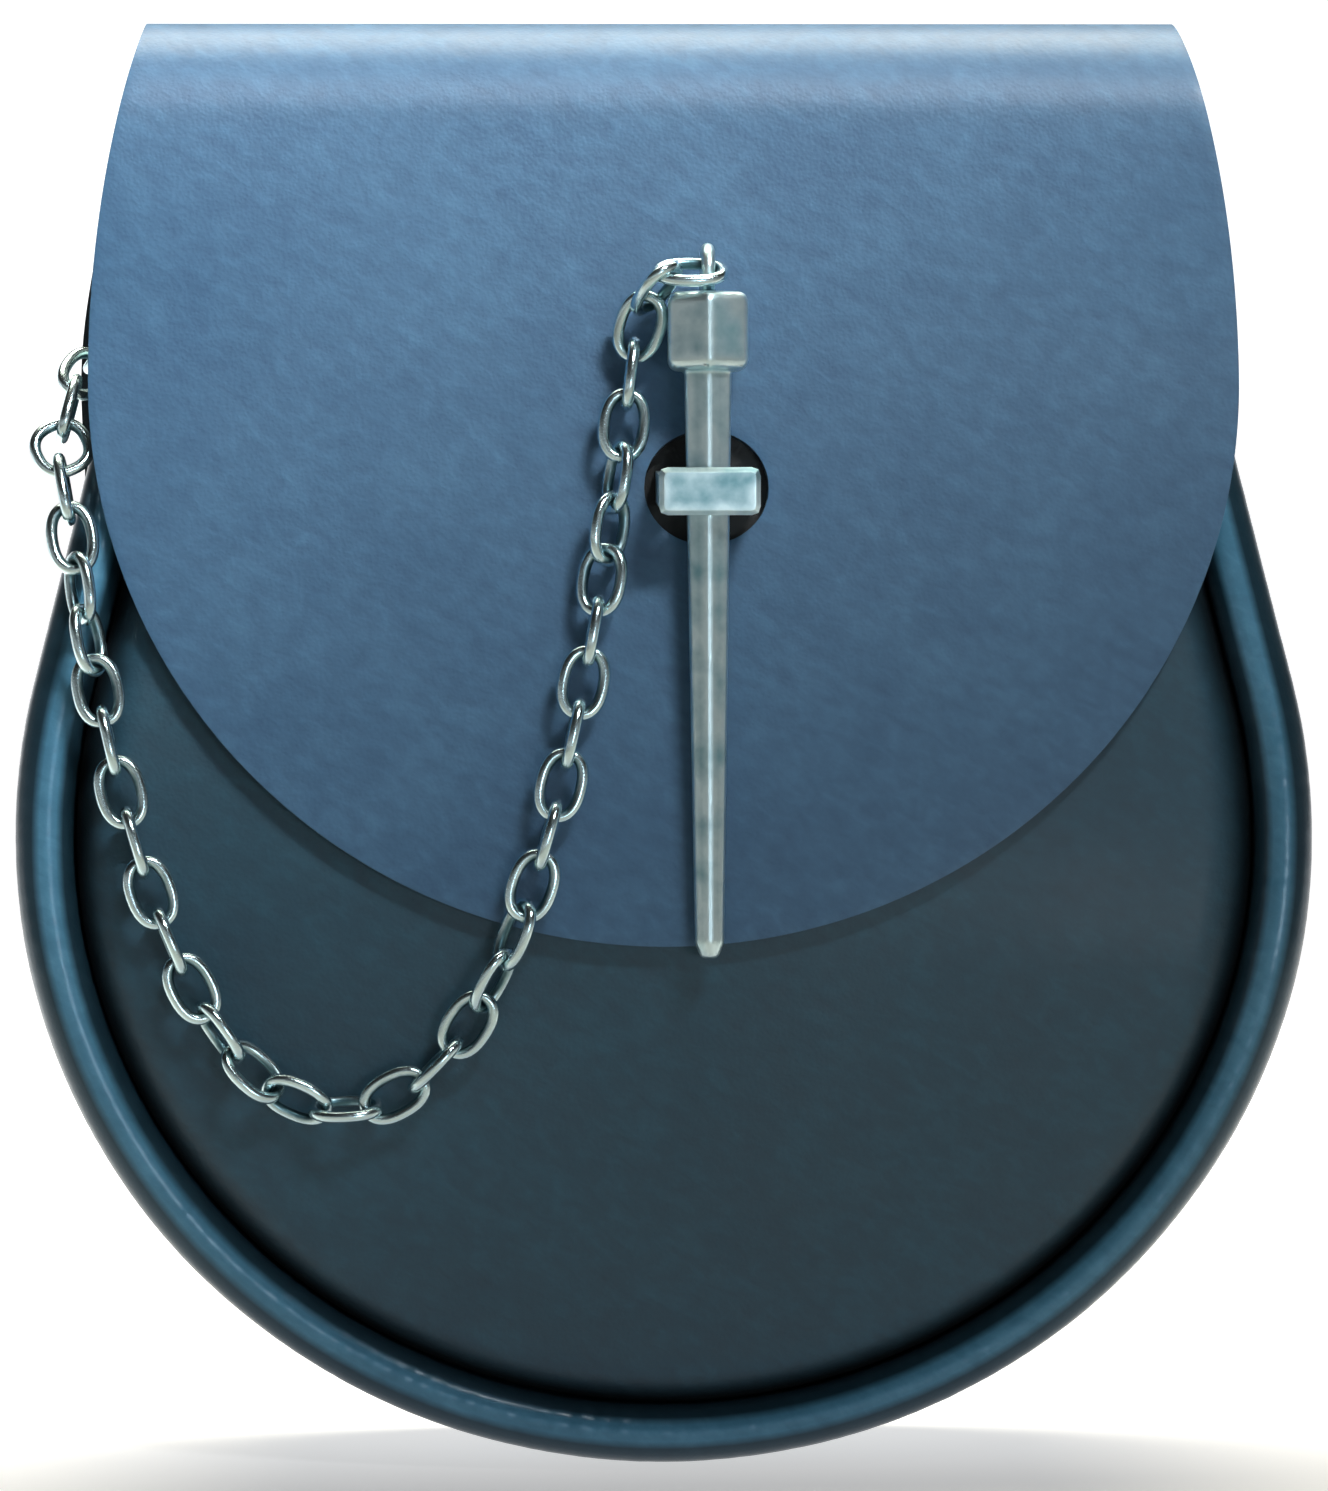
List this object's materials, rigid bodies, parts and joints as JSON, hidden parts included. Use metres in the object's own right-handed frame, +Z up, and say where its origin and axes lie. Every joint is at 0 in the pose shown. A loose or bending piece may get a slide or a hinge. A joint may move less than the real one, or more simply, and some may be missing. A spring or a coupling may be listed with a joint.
{
  "type": "sporran pouch",
  "caption": "Round leather sporran pouch with piped front edge, half-oval flap, metal staple and pin closure, a cable chain that holds the pin, and a belt loop behind.",
  "frame": {"origin": "middle of the belt tunnel behind the pouch, where the wearer's belt runs through", "axes": "+Z up, +X to the right seen from the front, -Y towards the front of the pouch"},
  "size_m": [0.1898, 0.0643, 0.2114],
  "materials": {
    "flap_leather": "waxed smooth leather, blue grey, slightly worn",
    "panel_leather": "waxed smooth leather, darker blue grey",
    "piping_leather": "rolled leather piping, dark blue grey, creased across",
    "antique_metal": "antique nickel, dark in the hollows and bright on worn edges"
  },
  "bodies": {
    "root": {"back_and_flap": "flap_leather", "front_panel": "panel_leather", "gusset": "panel_leather", "front_piping": "piping_leather", "belt_loop": "panel_leather", "staple": "antique_metal", "closure_pin": "antique_metal", "chain_anchor": "antique_metal", "link_01": "antique_metal", "link_02": "antique_metal", "link_03": "antique_metal", "link_04": "antique_metal", "link_05": "antique_metal", "link_06": "antique_metal", "link_07": "antique_metal", "link_08": "antique_metal", "link_09": "antique_metal", "link_10": "antique_metal", "link_11": "antique_metal", "link_12": "antique_metal", "link_13": "antique_metal", "link_14": "antique_metal", "link_15": "antique_metal", "link_16": "antique_metal", "link_17": "antique_metal", "link_18": "antique_metal", "link_19": "antique_metal", "link_20": "antique_metal", "link_21": "antique_metal", "link_22": "antique_metal", "link_23": "antique_metal", "link_24": "antique_metal", "link_25": "antique_metal", "link_26": "antique_metal", "link_27": "antique_metal", "link_28": "antique_metal", "link_29": "antique_metal", "link_30": "antique_metal", "link_31": "antique_metal", "link_32": "antique_metal", "link_33": "antique_metal", "link_34": "antique_metal", "link_35": "antique_metal", "link_36": "antique_metal", "link_37": "antique_metal", "end_ring": "antique_metal"}
  },
  "joints": []
}
